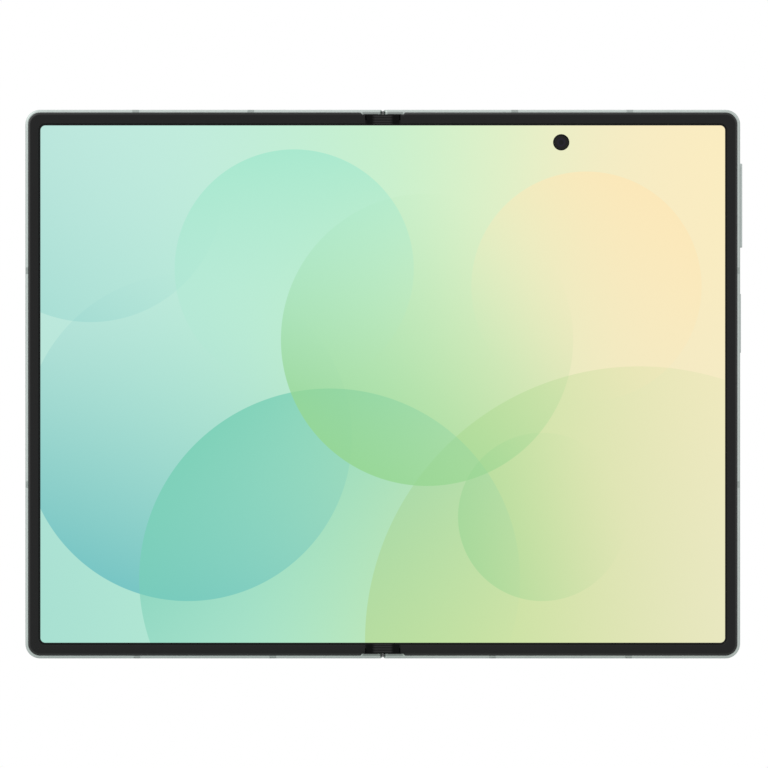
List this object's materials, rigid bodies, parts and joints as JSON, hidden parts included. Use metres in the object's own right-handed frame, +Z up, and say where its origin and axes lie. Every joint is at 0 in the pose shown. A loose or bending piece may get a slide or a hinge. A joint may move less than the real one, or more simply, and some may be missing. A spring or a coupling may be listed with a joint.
{
  "type": "foldable smartphone",
  "caption": "Book-style foldable smartphone, unfolded, with a geared hinge, a flexible inner screen, side keys, a card tray and a rear camera island.",
  "frame": {"origin": "middle of the lower long edge, in the plane that the unfolded phone stands on, midway between screen side and camera rings", "axes": "+X along the long edge towards the half with the keys, +Z up along the fold, the screen faces -Y"},
  "size_m": [0.1619, 0.0068, 0.1239],
  "materials": {
    "frame_metal": "satin",
    "key_metal": "satin",
    "antenna_plastic": "matte",
    "bezel_plastic": "satin",
    "screen": "gloss",
    "steel_sheet": "satin",
    "spine_metal": "satin",
    "hinge_steel": "satin",
    "pinion_brass": "satin",
    "screw_steel": "satin",
    "rear_glass": "frosted",
    "camera_metal": "satin",
    "lens_glass": "gloss",
    "flash_window": "gloss",
    "cover_glass": "gloss",
    "module_black": "matte",
    "battery_foil": "satin",
    "board": "satin",
    "flex_board": "satin",
    "plated_steel": "satin"
  },
  "bodies": {
    "spine": {"fold_screen": "screen", "top_fold_bridge": "bezel_plastic", "bottom_fold_bridge": "bezel_plastic", "spine_cover": "spine_metal", "top_spine_cap": "spine_metal", "bottom_spine_cap": "spine_metal", "top_hinge_housing": "hinge_steel", "bottom_hinge_housing": "hinge_steel"},
    "right_half": {"right_frame": "frame_metal", "right_bezel": "bezel_plastic", "right_antenna_breaks": "antenna_plastic", "right_screen": "screen", "right_support_plate": "steel_sheet", "right_wing_plate": "steel_sheet", "top_right_arm": "hinge_steel", "bottom_right_arm": "hinge_steel", "right_arm_screws": "screw_steel", "rear_glass": "rear_glass", "camera_island": "camera_metal", "lens_rings": "camera_metal", "lens_windows": "lens_glass", "flash_window": "flash_window", "rear_cameras": "module_black", "front_camera": "module_black", "right_battery": "battery_foil", "main_board": "board", "usb_port": "plated_steel", "loudspeaker": "module_black", "earpiece": "module_black", "vibration_motor": "plated_steel", "key_switches": "flex_board", "right_magnets": "plated_steel"},
    "left_half": {"left_frame": "frame_metal", "left_bezel": "bezel_plastic", "left_antenna_breaks": "antenna_plastic", "left_screen": "screen", "left_support_plate": "steel_sheet", "left_wing_plate": "steel_sheet", "top_left_arm": "hinge_steel", "bottom_left_arm": "hinge_steel", "left_arm_screws": "screw_steel", "cover_glass": "cover_glass", "cover_display": "module_black", "cover_camera": "module_black", "left_battery": "battery_foil", "sub_board": "board", "left_magnets": "plated_steel"},
    "right_pinions": {"top_right_pinion": "pinion_brass", "bottom_right_pinion": "pinion_brass"},
    "left_pinions": {"top_left_pinion": "pinion_brass", "bottom_left_pinion": "pinion_brass"},
    "centre_plate": {"centre_plate": "steel_sheet"},
    "volume_key": {"volume_key": "key_metal"},
    "power_key": {"power_key": "key_metal"},
    "sim_tray": {"sim_tray": "frame_metal"}
  },
  "joints": [
    {"name": "fold_right", "type": "hinge", "parent": "spine", "child": "right_half", "pos_m": [0.0014, -0.0021, 0.062], "axis": [0, 0, -1], "range_deg": [0, 90], "deforming": ["fold_screen"]},
    {"name": "fold_left", "type": "hinge", "parent": "spine", "child": "left_half", "pos_m": [-0.0014, -0.0021, 0.062], "axis": [0, 0, 1], "range_deg": [0, 90]},
    {"name": "right_pinions_spin", "type": "hinge", "parent": "spine", "child": "right_pinions", "pos_m": [0.00042, -0.00017, 0.062], "axis": [0, 0, 1], "range_deg": [0, 374]},
    {"name": "left_pinions_spin", "type": "hinge", "parent": "spine", "child": "left_pinions", "pos_m": [-0.00042, -0.00017, 0.062], "axis": [0, 0, 1], "range_deg": [-374, 0]},
    {"name": "centre_plate_sink", "type": "slide", "parent": "spine", "child": "centre_plate", "axis": [0, 1, 0], "range_m": [0, 0.00236]},
    {"name": "volume_key_press", "type": "slide", "parent": "right_half", "child": "volume_key", "axis": [-1, 0, 0], "range_m": [0, 0.00025], "stiffness_N_per_m": 4000},
    {"name": "power_key_press", "type": "slide", "parent": "right_half", "child": "power_key", "axis": [-1, 0, 0], "range_m": [0, 0.00015], "stiffness_N_per_m": 5000},
    {"name": "sim_tray_slide", "type": "slide", "parent": "left_half", "child": "sim_tray", "axis": [-1, 0, 0], "range_m": [0, 0.012]}
  ],
  "couplings": [
    {"joint": "fold_left", "follows": "fold_right", "ratio": 1},
    {"joint": "right_pinions_spin", "follows": "fold_right", "ratio": 4.1537},
    {"joint": "left_pinions_spin", "follows": "fold_right", "ratio": -4.1537},
    {"joint": "centre_plate_sink", "follows": "fold_right", "m_per_rad": 0.0015}
  ]
}
